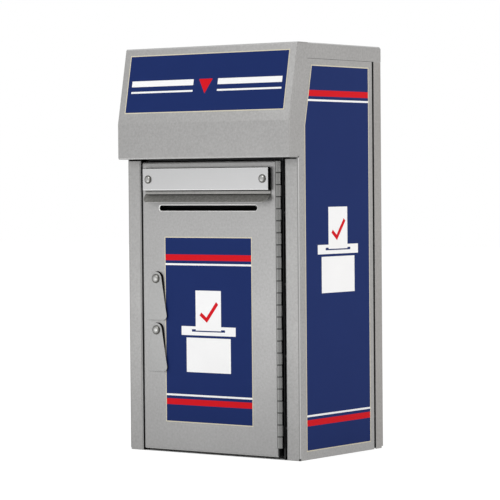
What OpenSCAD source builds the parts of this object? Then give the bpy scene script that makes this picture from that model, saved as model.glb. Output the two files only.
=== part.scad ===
// Wall or counter ballot box: a folded sheet-steel cabinet with a sloped hood, a full-height hinged
// door with a ballot slot, two key locks under swinging covers and a continuous hinge.
// X runs to the right, Y to the back and Z up. The origin is the middle of the footprint, on the floor.

/* [Cabinet] */
// Width over the side panels
body_w = 462; // [430:1:560]
// Depth from the front frame to the back
body_d = 318; // [260:1:400]
// Height over the roof
body_h = 883; // [800:1:1060]
// How far the hood stands out past the front frame
hood_out = 32; // [20:1:45]
// Height of the whole hood, from its underside to the roof
hood_h = 243; // [200:1:290]
// Height of the hood's upright face, below its slope
hood_face_h = 78; // [60:1:95]
// Width of the frame beside the door opening
stile_w = 36; // [30:1:44]
// Depth of the frame's fold back beside the door
stile_return = 20; // [20:1:26]
// Depth of the roof's flanges, down the sides and the back
roof_flange = 33.5; // [25:0.5:42]
// Width of the back panel's flanges, seen from the side
back_flange = 30; // [22:1:40]
// Width of the groove between a side panel and the back panel's flange
back_groove = 4.5; // [2:0.5:6]
// Gap between the top of the front frame and the hood's underside
frame_top_gap = 3; // [1:0.5:5]

/* [Sheet] */
// Thickness of the sheet steel
sheet = 2; // [1.5:0.1:2.5]
// Inner radius of each fold
bend_r = 2; // [1:0.5:3]

/* [Door] */
// Gap between the door and the frame on the lock side
door_gap = 3.5; // [2:0.5:6]
// Gap between the door and the hood's underside
door_top_gap = 6; // [4:0.5:9]
// Height of the door's lower edge above the floor
door_bottom_gap = 4; // [3:0.5:8]
// How far the door face lies behind the front frame
door_recess = 1; // [0.5:0.5:2]
// Depth of the folded edges of the door
door_depth = 18; // [15:0.5:18.5]

/* [Hinge] */
// Length of one knuckle with its gap
knuckle_pitch = 25.4; // [20:0.1:32]
// Outer diameter of the knuckles
knuckle_d = 12.5; // [11:0.1:14]
// Diameter of the hinge pin
pin_d = 6.35; // [5:0.05:7]
// Thickness of the hinge leaves
leaf_t = 3; // [2:0.1:3.5]
// Distance of the pin from the frame's inner edge
hinge_inset = 14; // [13:0.5:18]
// Distance of the pin in front of the frame
hinge_proud = 3; // [2.5:0.5:5]

/* [Ballot slot] */
// Length of the slot
slot_l = 265; // [220:1:290]
// Height of the slot
slot_h = 11; // [9:0.5:14]
// Height of the slot's middle below the top of the door
slot_drop = 100.5; // [94:0.5:115]
// Height of the bright bar above the slot
bar_h = 50; // [44:1:56]
// How far the bar's face stands in front of the door
bar_out = 11; // [9:0.5:14]
// Gap from the bar to the top of the door
bar_drop = 13; // [12:1:20]
// Distance of the bar's ends from the door's edges
bar_inset = 13; // [11:1:25]
// How far the drip hood's lip stands in front of the door
drip_out = 18; // [14:0.5:22]
// Diameter of the carriage bolt heads on the bar
bolt_head_d = 18; // [15:0.5:20]

/* [Locks] */
// Distance of the locks from the door's edge
lock_inset = 41; // [36:1:50]
// Height of the upper cover's pivot below the top of the door
pivot_drop = 255; // [240:1:270]
// Distance between the two covers' pivots
pivot_pitch = 112.5; // [110:0.5:130]
// Length of a cover below its pivot
cover_l = 91; // [80:1:93]
// Width of a cover at its lower end
cover_w = 58; // [48:1:60]
// Radius of a cover's upper end
cover_top_r = 15; // [12:0.5:16]
// Distance of a lock below its cover's pivot
lock_drop = 55; // [45:1:60]
// Diameter of the lock bodies
lock_d = 19; // [17:0.5:22]
// Reach of a lock's cam from the middle of the lock
cam_reach = 56; // [54:1:60]

/* [Signs and mounting] */
// Thickness of the sign skins
sign_t = 0.3; // [0.2:0.1:0.5]
// Distance between the wall holes, side to side
wall_w = 304.8; // [254:0.1:330]
// Distance between the wall holes, up and down
wall_h = 609.6; // [508:0.1:640]
// Diameter of the wall and floor holes
mount_d = 11; // [9:0.5:14]
// Distance between the floor holes, front to back
floor_d = 152.4; // [120:0.1:180]

/* [Hidden] */
$fn = 64;

// Clearances and small steps
fit = 0.2;
seam = 0.5;
running = 0.05;
knuckle_gap = 0.5;
barrel_gap = 0.3;
beyond = 1;
bend_step = 15;

// Cabinet places
side_x = body_w / 2;
front_y = hood_out - (body_d + hood_out) / 2;
hood_y = front_y - hood_out;
back_y = front_y + body_d;
hood_z = body_h - hood_h;
fold_z = hood_z + hood_face_h;
slope = atan(hood_out / (body_h - fold_z));
slope_l = norm([hood_out, body_h - fold_z]);
open_x = side_x - stile_w;
fold_r = sheet + bend_r;
lip_w = 18;
return_y = front_y + stile_return;
groove_y = back_y - back_flange - back_groove;
groove_depth = 12;
groove_lap = 22;
flange_z = body_h - roof_flange;
flange_y = front_y + 37;
floor_up = 25;
floor_edge_up = 20;
stop_y = front_y + door_recess + door_depth + 2;
stop_h = 25;
relief = 4;

// Door places
door_y = front_y + door_recess;
inner_y = door_y + sheet;
door_l = -open_x + door_gap;
hinge_x = open_x - hinge_inset;
hinge_y = front_y - hinge_proud;
door_r = hinge_x - knuckle_d / 2 - barrel_gap;
door_b = door_bottom_gap;
door_t = hood_z - door_top_gap;
door_w = door_r - door_l;
fittings_x = (door_l + door_r) / 2 - 2;

// Hinge places
hinge_t = door_t - 0.4;
knuckles = 2 * floor((hinge_t - door_b) / (2 * knuckle_pitch));
hinge_b = hinge_t - knuckles * knuckle_pitch;
leaf_y = hinge_y + knuckle_d / 2 + 0.5;
leaf_d = 14;
screw_y = leaf_y + leaf_d / 2 + 0.5;
screw_every = 6;
screw_d = 5;
screw_head_d = 9;
screw_head_h = 2.2;
nut_af = 8;
nut_t = 4;
jamb_w = 26;

// Slot, bar and bolts
slot_z = door_t - slot_drop;
bar_t = door_t - bar_drop;
bar_b = bar_t - bar_h;
bar_z = (bar_t + bar_b) / 2;
bar_l = door_w - 2 * bar_inset;
bar_y = door_y - bar_out;
bolt_inset = 15;
bolt_d = 8;
drip_z = bar_b - 8;
drip_lip_z = drip_z - 16.5;
drip_corner = 17;
chute_l = slot_l + 20;
bolt_xs = [fittings_x - bar_l / 2 + bolt_inset, fittings_x + bar_l / 2 - bolt_inset];

// Locks and covers
lock_x = door_l + lock_inset;
pivot_zs = [door_t - pivot_drop - pivot_pitch, door_t - pivot_drop];
cover_t = 2.5;
cover_gap = 3.2;
cover_play = 0.1;
cover_corner_r = 10;
pivot_d = 8;
pivot_head_d = 20;
pivot_head_h = 4;
pivot_rim_h = 1.4;
bezel_d = 23;
bezel_t = 1;
plug_d = 12;
cam_t = 3;
cam_w = 16;
cam_y = return_y + 0.4;
lock_nut_af = 26;
lock_nut_t = 5;

// Colours
steel = [0.67, 0.67, 0.66];
bright = [0.80, 0.80, 0.80];
dark_steel = [0.45, 0.45, 0.45];
rubber = [0.12, 0.12, 0.12];
sign_blue = [0.13, 0.19, 0.38];

// Outline of a folded sheet
function direction(a) = [cos(a), sin(a)];
function heading(p, q) = atan2(q[1] - p[1], q[0] - p[0]);
function turn(a) = a > 180 ? a - 360 : (a <= -180 ? a + 360 : a);
function fold_arc(pts, i, off, t, r) =
    let (h = heading(pts[i - 1], pts[i]))
    let (a = turn(heading(pts[i], pts[i + 1]) - h))
    let (radius = a > 0 ? r + t : r)
    let (start = pts[i] - radius * tan(abs(a) / 2) * direction(h))
    let (centre = start + sign(a) * radius * direction(h + 90))
    let (steps = ceil(abs(a) / bend_step))
    [for (k = [0 : steps]) centre - (sign(a) * radius - off) * direction(h + 90 + a * k / steps)];
function fold_side(pts, off, t, r) =
    let (last = len(pts) - 1)
    [for (i = [0 : last]) each (
        i == 0 ? [pts[0] + off * direction(heading(pts[0], pts[1]) + 90)] :
        i == last ? [pts[i] + off * direction(heading(pts[i - 1], pts[i]) + 90)] :
        fold_arc(pts, i, off, t, r))];
function backwards(list) = [for (i = [len(list) - 1 : -1 : 0]) list[i]];

// Section of a folded sheet: its outer face follows the points and its metal lies to their left
module folded(pts, t = sheet, r = bend_r) {
    polygon(concat(fold_side(pts, 0, t, r), backwards(fold_side(pts, t, t, r))));
}

// A section drawn in X and Y, raised from z0 to z1
module along_z(z0, z1) {
    translate([0, 0, z0]) linear_extrude(z1 - z0) children();
}

// A section drawn in Y and Z, drawn out from x0 to x1
module along_x(x0, x1) {
    translate([x0, 0, 0]) rotate([90, 0, 90]) linear_extrude(x1 - x0) children();
}

// A section drawn in X and Z, drawn out from y0 to y1
module along_y(y0, y1) {
    translate([0, y1, 0]) rotate([90, 0, 0]) linear_extrude(y1 - y0) children();
}

// A block between two corners
module block(a, b) {
    translate(a) cube(b - a);
}

// A round bar or hole along Y
module rod_y(x, z, y0, y1, d) {
    translate([x, y1, z]) rotate([90, 0, 0]) cylinder(d = d, h = y1 - y0);
}

// A hexagon along Y, with its flats at the top and bottom
module hex_y(x, z, y0, y1, af) {
    translate([x, y1, z]) rotate([90, 0, 0]) cylinder(d = af / cos(30), h = y1 - y0, $fn = 6);
}

// Inner edge of the hood's slope at a height
function slope_in(z) = front_y - (body_h - z) * tan(slope) + (sheet + fit) / cos(slope);

// The side panel on the right: frame, side, hood cheek and the groove fold at the back
module side_panel() {
    inset = sheet + fit;
    frame_line = [
        [open_x + lip_w, return_y], [open_x, return_y], [open_x, front_y], [side_x, front_y],
        [side_x, groove_y], [side_x - groove_depth, groove_y], [side_x - groove_depth, groove_y + groove_lap]
    ];
    upper_line = [
        [side_x, front_y + fold_r], [side_x, groove_y], [side_x - groove_depth, groove_y],
        [side_x - groove_depth, groove_y + groove_lap]
    ];
    cheek_fold_z = body_h - (hood_out + inset * (1 / cos(slope) - 1)) / tan(slope);
    top_z = body_h - inset;
    cheek = [
        [hood_y + inset, hood_z + inset + bend_r], [hood_y + inset + bend_r, hood_z + inset],
        [front_y + fold_r, hood_z + inset], [front_y + fold_r, hood_z - beyond],
        [flange_y + roof_flange, hood_z - beyond], [flange_y + roof_flange, flange_z - seam],
        [flange_y - seam, flange_z - seam], [flange_y - seam, top_z], [slope_in(top_z) + bend_r, top_z],
        [slope_in(top_z - bend_r), top_z - bend_r], [hood_y + inset, cheek_fold_z]
    ];
    difference() {
        union() {
            along_z(0, hood_z - fit) folded(frame_line);
            along_z(hood_z - beyond, flange_z - seam) folded(upper_line);
            along_x(side_x - sheet, side_x) polygon(cheek);
        }
        block([side_x - relief, front_y - beyond, -beyond], [side_x + beyond, front_y + relief, relief]);
        block([open_x - beyond, front_y - beyond, hood_z - frame_top_gap],
            [side_x - fold_r, return_y + beyond, hood_z]);
    }
}

module right_side_panel() {
    color(steel) side_panel();
}

module left_side_panel() {
    color(steel) mirror([1, 0, 0]) side_panel();
}

// Roof, slope, hood face and underside in one sheet, with the stop flange behind the door's top edge
module roof_hood() {
    hood_line = [
        [flange_y + beyond, body_h], [front_y, body_h], [hood_y, fold_z], [hood_y, hood_z],
        [stop_y, hood_z], [stop_y, hood_z - stop_h]
    ];
    roof_line = [[side_x, flange_z], [side_x, body_h], [-side_x, body_h], [-side_x, flange_z]];
    back_line = [[back_y, flange_z], [back_y, body_h], [back_y - 2 * fold_r, body_h]];
    inside_x = side_x - sheet - fit;
    color(steel) {
        difference() {
            along_x(-side_x, side_x) folded(hood_line);
            for (side = [-1, 1])
                block([side > 0 ? inside_x : -side_x - beyond, front_y, hood_z - beyond],
                    [side > 0 ? side_x + beyond : -inside_x, front_y + 40, hood_z + fold_r]);
            block([hinge_x + 5, front_y + fit, hood_z - stop_h - beyond], [side_x, front_y + 40, hood_z]);
            block([-side_x, front_y + fit, hood_z - stop_h - beyond], [door_l, front_y + 40, hood_z]);
        }
        along_y(flange_y, back_y - fold_r) folded(roof_line);
        along_x(-side_x + fold_r, side_x - fold_r) folded(back_line);
        for (x = [-side_x, side_x - sheet])
            block([x, back_y - fold_r - beyond, flange_z], [x + sheet, back_y - sheet, body_h - fold_r]);
    }
}

// Back panel with its side flanges and the four wall holes
module back_panel() {
    flange_start = back_y - back_flange;
    line = [[side_x, flange_start], [side_x, back_y], [-side_x, back_y], [-side_x, flange_start]];
    color(steel) difference() {
        along_z(0, flange_z - seam) folded(line);
        for (x = [-wall_w / 2, wall_w / 2], z = [body_h / 2 - wall_h / 2, body_h / 2 + wall_h / 2])
            rod_y(x, z, back_y - sheet - beyond, back_y + beyond, mount_d);
        for (x = [-side_x - beyond, side_x - relief * 2])
            block([x, back_y - relief * 2, -beyond], [x + relief * 2 + beyond, back_y + beyond, relief]);
    }
}

// Floor pan with upturned edges and four floor holes; its front edge is the door's lower stop
module floor_panel() {
    end_y = back_y - sheet - fit;
    edge_x = side_x - sheet - fit;
    narrow_x = side_x - groove_depth - sheet - seam;
    long_line = [[stop_y, floor_up], [stop_y, 0], [end_y, 0], [end_y, floor_edge_up]];
    wide_line = [[-edge_x, floor_edge_up], [-edge_x, 0], [edge_x, 0], [edge_x, floor_edge_up]];
    color(steel) difference() {
        union() {
            along_x(door_l, door_r) folded(long_line);
            along_y(return_y + 8, groove_y - fold_r) folded(wide_line);
            block([-narrow_x, 0, 0], [narrow_x, end_y - fold_r, sheet]);
        }
        for (x = [-wall_w / 2, wall_w / 2], y = [-floor_d / 2, floor_d / 2])
            translate([x, y, -beyond]) cylinder(d = mount_d, h = sheet + 2 * beyond);
    }
}

// Angle that carries the hinge, behind the frame on the hinge side
module hinge_jamb() {
    leaf_x = hinge_x + knuckle_d / 2 + barrel_gap;
    line = [[leaf_x + jamb_w, return_y + sheet], [leaf_x, return_y + sheet], [leaf_x, leaf_y]];
    color(dark_steel) difference() {
        along_z(0, hood_z - fit) folded(line);
        for (z = frame_screw_zs) hinge_screw_hole(leaf_x + sheet / 2, z);
    }
}

// Hinge: knuckles alternate between the frame's leaf and the door's leaf
frame_screw_zs = [for (k = [1.7 : screw_every : knuckles]) hinge_b + k * knuckle_pitch];
door_screw_zs = [for (k = [4.7 : screw_every : knuckles]) hinge_b + k * knuckle_pitch];

module hinge_screw_hole(x, z) {
    translate([x - leaf_t, screw_y, z]) rotate([0, 90, 0]) cylinder(d = screw_d + fit, h = leaf_t * 2);
}

module hinge_leaf(first, screw_zs) {
    leaf_x = knuckle_d / 2 + barrel_gap - leaf_t;
    difference() {
        union() {
            block([leaf_x, leaf_y, hinge_b], [leaf_x + leaf_t, leaf_y + leaf_d, hinge_t]);
            for (k = [first : 2 : knuckles - 1]) translate([0, 0, hinge_b + k * knuckle_pitch + knuckle_gap / 2]) {
                translate([0, hinge_y, 0]) cylinder(d = knuckle_d, h = knuckle_pitch - knuckle_gap);
                translate([leaf_x, hinge_y, 0])
                    cube([leaf_t, leaf_y - hinge_y + beyond, knuckle_pitch - knuckle_gap]);
            }
        }
        translate([0, hinge_y, hinge_b - beyond])
            cylinder(d = pin_d + 2 * running, h = knuckles * knuckle_pitch + 2 * beyond);
        for (z = screw_zs) hinge_screw_hole(leaf_x + leaf_t / 2, z);
    }
}

module frame_hinge_leaf() {
    color(steel) translate([hinge_x, 0, 0]) hinge_leaf(1, frame_screw_zs);
}

module door_hinge_leaf() {
    color(steel) translate([hinge_x, 0, 0]) mirror([1, 0, 0]) hinge_leaf(0, door_screw_zs);
}

module hinge_pin() {
    color(dark_steel) translate([hinge_x, hinge_y, hinge_b - 0.4])
        cylinder(d = pin_d, h = knuckles * knuckle_pitch + 0.8);
}

// A screw whose head lies at the origin, with its shank along +X and a nut at the far face
module hinge_screw(grip) {
    rotate([0, 90, 0]) {
        translate([0, 0, -screw_head_h]) cylinder(d = screw_head_d, h = screw_head_h);
        cylinder(d = screw_d, h = grip + nut_t);
        translate([0, 0, grip]) cylinder(d = nut_af / cos(30), h = nut_t, $fn = 6);
    }
}

module frame_hinge_screws() {
    leaf_x = hinge_x + knuckle_d / 2 + barrel_gap - leaf_t;
    color(bright) for (z = frame_screw_zs) translate([leaf_x, screw_y, z]) hinge_screw(leaf_t + sheet);
}

module door_hinge_screws() {
    leaf_x = door_r + leaf_t;
    color(bright) for (z = door_screw_zs)
        translate([leaf_x, screw_y, z]) mirror([1, 0, 0]) hinge_screw(leaf_t + sheet);
}

// Rubber strips on the upper and lower stops
module door_seal() {
    strip_y = stop_y - 1.7;
    color(rubber) for (strip = [[6, 18], [door_t - 14, hood_z - fold_r]])
        block([door_l + 8, strip_y, strip[0]], [door_r - 8, stop_y, strip[1]]);
}

// Rubber cords in the grooves between the side panels and the back panel's flanges
module groove_seals() {
    outer = side_x - 1.5;
    inner = side_x - groove_depth + fold_r;
    color(rubber) for (x = [-outer, inner])
        block([x, groove_y, 2], [x + outer - inner, back_y - back_flange - fit, flange_z - 2 * seam]);
}

// Outline of the slot
module slot_outline() {
    translate([fittings_x, slot_z]) {
        square([slot_l - slot_h, slot_h], center = true);
        for (x = [-1, 1]) translate([x * (slot_l - slot_h) / 2, 0]) circle(d = slot_h);
    }
}

// Door: a pan folded on all four edges
module door_panel() {
    back_edge = door_y + door_depth;
    wide_line = [[door_l, back_edge], [door_l, door_y], [door_r, door_y], [door_r, back_edge]];
    tall_line = [[back_edge, door_t], [door_y, door_t], [door_y, door_b], [back_edge, door_b]];
    color(steel) difference() {
        union() {
            along_z(door_b + fold_r, door_t - fold_r) folded(wide_line);
            along_x(door_l + fold_r, door_r - fold_r) folded(tall_line);
        }
        along_y(door_y - beyond, inner_y + beyond) slot_outline();
        for (x = bolt_xs) rod_y(x, bar_z, door_y - beyond, inner_y + beyond, bolt_d + 2 * fit);
        for (z = pivot_zs) {
            rod_y(lock_x, z, door_y - beyond, inner_y + beyond, pivot_d + 2 * fit);
            rod_y(lock_x, z - lock_drop, door_y - beyond, inner_y + beyond, lock_d + 2 * fit);
        }
        for (z = door_screw_zs) hinge_screw_hole(door_r - sheet / 2, z);
    }
}

// Hat-shaped stiffener down the inside of the door
module door_stiffener() {
    hat_h = 12;
    hat_x = fittings_x + 70;
    line = [
        [hat_x + 32, inner_y + sheet], [hat_x + 14, inner_y + sheet], [hat_x + 14, inner_y + hat_h],
        [hat_x - 14, inner_y + hat_h], [hat_x - 14, inner_y + sheet], [hat_x - 32, inner_y + sheet]
    ];
    color(steel) along_z(door_b + 36, slot_z - 60) folded(line);
}

// Bright channel across the door above the slot
module slot_bar() {
    web_y = door_y - sheet;
    line = [[web_y, bar_t], [bar_y, bar_t], [bar_y, bar_b], [web_y, bar_b]];
    color(bright) difference() {
        along_x(fittings_x - bar_l / 2, fittings_x + bar_l / 2) folded(line);
        for (x = bolt_xs) rod_y(x, bar_z, bar_y - beyond, bar_y + sheet + beyond, bolt_d + 2 * fit);
    }
}

// Drip hood: a flap with rounded ends over the slot, held by its web behind the bar
module drip_hood() {
    web_y = door_y - sheet;
    lip_y = door_y - drip_out;
    line = [[web_y, bar_t - 3], [web_y, drip_z], [lip_y, drip_lip_z]];
    half = bar_l / 2;
    color(steel) difference() {
        along_x(fittings_x - half, fittings_x + half) folded(line);
        for (side = [-1, 1]) translate([fittings_x + side * (half - drip_corner), 0, drip_lip_z + drip_corner])
            difference() {
                block([side > 0 ? 0 : -drip_corner - beyond, lip_y - sheet - beyond, -drip_corner - 2 * beyond],
                    [side > 0 ? drip_corner + beyond : 0, web_y - bend_r, 0]);
                rod_y(0, 0, lip_y - sheet - 2 * beyond, web_y + beyond, 2 * drip_corner);
            }
        for (x = bolt_xs) rod_y(x, bar_z, web_y - beyond, door_y + beyond, bolt_d + 2 * fit);
    }
}

// Carriage bolts through the bar, their spacers and their nuts
module bar_bolts() {
    color(bright) for (x = bolt_xs) {
        rod_y(x, bar_z, bar_y - 0.4, inner_y + 12, bolt_d);
        translate([x, bar_y, bar_z]) rotate([90, 0, 0]) intersection() {
            translate([0, 0, 4 - bolt_head_d]) sphere(r = bolt_head_d);
            cylinder(d = bolt_head_d, h = 5);
        }
    }
}

module bar_spacers() {
    color(dark_steel) for (x = bolt_xs) difference() {
        rod_y(x, bar_z, bar_y + sheet, door_y - sheet, bolt_d + 7);
        rod_y(x, bar_z, bar_y, door_y, bolt_d + 2 * fit);
    }
}

module bar_nuts() {
    color(dark_steel) for (x = bolt_xs) difference() {
        union() {
            rod_y(x, bar_z, inner_y, inner_y + 1.6, 18);
            hex_y(x, bar_z, inner_y + 1.6, inner_y + 8, 13);
        }
        rod_y(x, bar_z, inner_y - beyond, inner_y + 9, bolt_d + 2 * running);
    }
}

// Chute behind the slot: an upper baffle and a lower slide
module slot_baffle() {
    top = slot_z + slot_h / 2 + 24;
    knee = slot_z + slot_h / 2 + 9;
    line = [[inner_y + sheet, knee + 15], [inner_y + sheet, knee], [inner_y + 52, knee - 36]];
    color(steel) along_x(fittings_x - chute_l / 2, fittings_x + chute_l / 2)
        folded(backwards([for (p = line) [p[0], min(p[1], top)]]));
}

module slot_chute() {
    knee = slot_z - slot_h / 2 - 8;
    line = [[inner_y + sheet, knee - 16], [inner_y + sheet, knee], [inner_y + 34, knee - 24]];
    color(steel) along_x(fittings_x - chute_l / 2, fittings_x + chute_l / 2) folded(line);
}

// Lock cylinders: body with its bezel, nut, turning plug, cam and cam screw
module lock_body(z) {
    end_y = cam_y - 0.3;
    color(bright) difference() {
        union() {
            rod_y(lock_x, z, door_y - bezel_t, door_y, bezel_d);
            rod_y(lock_x, z, door_y - bezel_t, end_y, lock_d);
        }
        rod_y(lock_x, z, door_y - bezel_t - beyond, end_y + beyond, plug_d + 2 * running);
    }
}

module lock_nut(z) {
    color(dark_steel) difference() {
        hex_y(lock_x, z, inner_y, inner_y + lock_nut_t, lock_nut_af);
        rod_y(lock_x, z, inner_y - beyond, inner_y + lock_nut_t + beyond, lock_d + 2 * running);
    }
}

module lock_plug(z) {
    color(bright) difference() {
        union() {
            rod_y(lock_x, z, door_y - bezel_t, cam_y, plug_d);
            block([lock_x - 4, cam_y - beyond, z - 4], [lock_x + 4, cam_y + cam_t - 0.2, z + 4]);
        }
        block([lock_x - 1, door_y - 2 * bezel_t, z - 4], [lock_x + 1, door_y + 5, z + 4]);
        rod_y(lock_x, z, cam_y - 6, cam_y + 2 * cam_t, 4);
    }
}

module lock_cam(z) {
    color(dark_steel) difference() {
        along_y(cam_y, cam_y + cam_t) union() {
            translate([lock_x, z]) circle(d = cam_w);
            translate([lock_x - cam_w / 2, z - cam_reach]) square([cam_w, cam_reach]);
        }
        block([lock_x - 4 - running, cam_y - beyond, z - 4 - running],
            [lock_x + 4 + running, cam_y + cam_t + beyond, z + 4 + running]);
    }
}

module cam_screw(z) {
    color(bright) {
        rod_y(lock_x, z, cam_y - 5.5, cam_y + cam_t + 1, 4 - 2 * running);
        rod_y(lock_x, z, cam_y + cam_t, cam_y + cam_t + 2.5, 12);
    }
}

// Lock cover: a plate that hangs from its pivot and swings aside
module lock_cover(z) {
    cover_end_y = door_y - cover_gap - cover_play;
    corner_x = cover_w / 2 - cover_corner_r;
    corner_z = cover_corner_r - cover_l;
    color(steel) difference() {
        translate([lock_x, cover_end_y, z]) rotate([90, 0, 0]) linear_extrude(cover_t) hull() {
            circle(r = cover_top_r, $fn = 32);
            for (side = [-1, 1]) translate([side * corner_x, corner_z]) circle(r = cover_corner_r, $fn = 32);
        }
        rod_y(lock_x, z, cover_end_y - cover_t - beyond, cover_end_y + beyond, pivot_d + 2 * running);
    }
}

module cover_pivot(z) {
    head_y = door_y - cover_gap - cover_t - 2 * cover_play;
    dome_h = pivot_head_h - pivot_rim_h;
    dome_r = (pow(pivot_head_d / 2, 2) + pow(dome_h, 2)) / (2 * dome_h);
    color(bright) translate([lock_x, head_y, z]) rotate([90, 0, 0]) rotate_extrude() {
        intersection() {
            translate([0, pivot_head_h - dome_r]) circle(r = dome_r, $fn = 128);
            square([pivot_head_d / 2, pivot_head_h]);
        }
        translate([0, head_y - inner_y - sheet]) square([pivot_d / 2, inner_y + sheet - head_y]);
        translate([0, head_y - door_y]) square([pivot_d, cover_gap]);
        translate([0, head_y - inner_y - sheet]) square([pivot_d / 2 + 3, sheet]);
    }
}

module upper_lock_body() { lock_body(pivot_zs[1] - lock_drop); }
module lower_lock_body() { lock_body(pivot_zs[0] - lock_drop); }
module upper_lock_nut() { lock_nut(pivot_zs[1] - lock_drop); }
module lower_lock_nut() { lock_nut(pivot_zs[0] - lock_drop); }
module upper_lock_plug() { lock_plug(pivot_zs[1] - lock_drop); }
module lower_lock_plug() { lock_plug(pivot_zs[0] - lock_drop); }
module upper_lock_cam() { lock_cam(pivot_zs[1] - lock_drop); }
module lower_lock_cam() { lock_cam(pivot_zs[0] - lock_drop); }
module upper_cam_screw() { cam_screw(pivot_zs[1] - lock_drop); }
module lower_cam_screw() { cam_screw(pivot_zs[0] - lock_drop); }
module upper_cover_pivot() { cover_pivot(pivot_zs[1]); }
module lower_cover_pivot() { cover_pivot(pivot_zs[0]); }
module upper_lock_cover() { lock_cover(pivot_zs[1]); }
module lower_lock_cover() { lock_cover(pivot_zs[0]); }

// Signs: thin skins on the hood's slope, the right side and the door
module hood_sign() {
    edge_x = 15.5;
    lower = 22.5;
    upper = 15.5;
    color(sign_blue) translate([0, hood_y, fold_z]) rotate([-slope, 0, 0])
        block([edge_x - side_x, -sign_t - running, lower], [side_x - edge_x, -running, slope_l - upper]);
}

module side_sign() {
    back = groove_y - 16.5;
    outline = [
        [front_y + 51, flange_z - 13.5], [back, flange_z - 13.5], [back, 17.5],
        [front_y + 24, 17.5], [front_y + 24, fold_z - 11]
    ];
    color(sign_blue) along_x(side_x, side_x + sign_t) polygon(outline);
}

module door_sign() {
    color(sign_blue) block([door_l + 62, door_y - sign_t, door_b + 62], [door_r - 66.5, door_y, door_t - 163]);
}

left_side_panel();
right_side_panel();
roof_hood();
back_panel();
floor_panel();
hinge_jamb();
frame_hinge_leaf();
frame_hinge_screws();
hinge_pin();
door_seal();
groove_seals();
hood_sign();
side_sign();
door_panel();
door_stiffener();
door_hinge_leaf();
door_hinge_screws();
slot_bar();
drip_hood();
bar_bolts();
bar_spacers();
bar_nuts();
slot_baffle();
slot_chute();
door_sign();
upper_lock_body();
lower_lock_body();
upper_lock_nut();
lower_lock_nut();
upper_cover_pivot();
lower_cover_pivot();
upper_lock_cover();
lower_lock_cover();
upper_lock_plug();
lower_lock_plug();
upper_lock_cam();
lower_lock_cam();
upper_cam_screw();
lower_cam_screw();
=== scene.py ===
import math

import bpy
from mathutils import Euler, Matrix, Vector


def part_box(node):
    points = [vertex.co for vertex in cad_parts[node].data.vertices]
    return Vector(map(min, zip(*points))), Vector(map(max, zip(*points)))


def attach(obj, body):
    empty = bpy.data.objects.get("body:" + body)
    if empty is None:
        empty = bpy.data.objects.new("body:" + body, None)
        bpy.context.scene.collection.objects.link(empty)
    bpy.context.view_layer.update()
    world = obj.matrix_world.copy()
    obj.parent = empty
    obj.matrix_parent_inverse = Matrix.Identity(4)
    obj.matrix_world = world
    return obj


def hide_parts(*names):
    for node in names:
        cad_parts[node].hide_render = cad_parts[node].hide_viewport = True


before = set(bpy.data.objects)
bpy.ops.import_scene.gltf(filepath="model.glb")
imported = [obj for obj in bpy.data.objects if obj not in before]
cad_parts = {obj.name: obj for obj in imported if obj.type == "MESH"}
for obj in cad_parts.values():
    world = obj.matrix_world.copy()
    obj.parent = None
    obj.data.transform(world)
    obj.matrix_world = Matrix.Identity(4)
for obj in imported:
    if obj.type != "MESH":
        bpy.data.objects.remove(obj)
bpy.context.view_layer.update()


# Camera. A long lens stands about 5.4 m away, to the right of the box's front and near the height
# of its slot, so both the door and the right side show with their upright edges nearly parallel.
camera_place = Vector((3.2774, -4.4265, 0.5914))
camera_turn = math.radians(36.537)
camera_tilt = math.radians(-1.584)
camera_roll = math.radians(-0.480)

camera_data = bpy.data.cameras.new("studio_camera")
camera_data.lens = 180.12
camera_data.sensor_width = 36.0
camera = bpy.data.objects.new("studio_camera", camera_data)
bpy.context.scene.collection.objects.link(camera)
camera.matrix_world = (
    Matrix.Translation(camera_place)
    @ Euler((math.pi / 2 + camera_tilt, 0.0, camera_turn)).to_matrix().to_4x4()
    @ Matrix.Rotation(camera_roll, 4, "Z")
)
bpy.context.scene.camera = camera
bpy.context.scene.view_settings.view_transform = "Standard"


# Studio. The box stands on a white table top in an evenly white room. A low soft lamp near the front
# left, one behind the right side and two high ones add a little shape. The picture, metal's
# reflections and whatever is seen through glass show plain white round the box. The light that
# the table throws back onto the box is painted: darker close to the box, with a faint glow farther out.
class Wire:
    """A number in a finish. Sums and products of wires add the Math nodes that work them out."""

    def __init__(self, finish, socket):
        self.finish = finish
        self.socket = socket

    def worked(self, operation, first, second):
        return self.finish.add("Math", {"operation": operation}, {0: first, 1: second})

    def __add__(self, other):
        return self.worked("ADD", self, other)

    def __radd__(self, other):
        return self.worked("ADD", other, self)

    def __sub__(self, other):
        return self.worked("SUBTRACT", self, other)

    def __rsub__(self, other):
        return self.worked("SUBTRACT", other, self)

    def __mul__(self, other):
        return self.worked("MULTIPLY", self, other)

    def __rmul__(self, other):
        return self.worked("MULTIPLY", other, self)

    def above(self, limit):
        """Is 1 where the number is above the limit, and 0 elsewhere."""
        return self.worked("GREATER_THAN", self, limit)


class Finish:
    """A material, or the room's world, under its name, with the nodes that are added to it."""

    def __init__(self, name, kinds=bpy.data.materials):
        self.made = kinds.new(name)
        self.made.use_nodes = True
        self.tree = self.made.node_tree
        self.tree.nodes.clear()

    def add(self, kind, settings=None, sockets=None, output=0):
        """Adds a node, sets it up, fills or wires its sockets and hands back one of its outputs."""
        node = self.tree.nodes.new("ShaderNode" + kind)
        for name, value in (settings or {}).items():
            setattr(node, name, value)
        for name, value in (sockets or {}).items():
            if isinstance(value, Wire):
                self.tree.links.new(value.socket, node.inputs[name])
            else:
                node.inputs[name].default_value = value
        return Wire(self, node.outputs[output]) if node.outputs else node

    def tint(self, mask, first, second):
        """The first colour where the mask is 0, the second where it is 1 and a blend in between."""
        return self.add("Mix", {"data_type": "RGBA"}, {0: mask, 6: first, 7: second}, 2)

    def show(self, shader, output="OutputMaterial"):
        """Sends a shader to the output and hands back the finished material or world."""
        self.add(output, None, {"Surface": shader})
        return self.made


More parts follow.
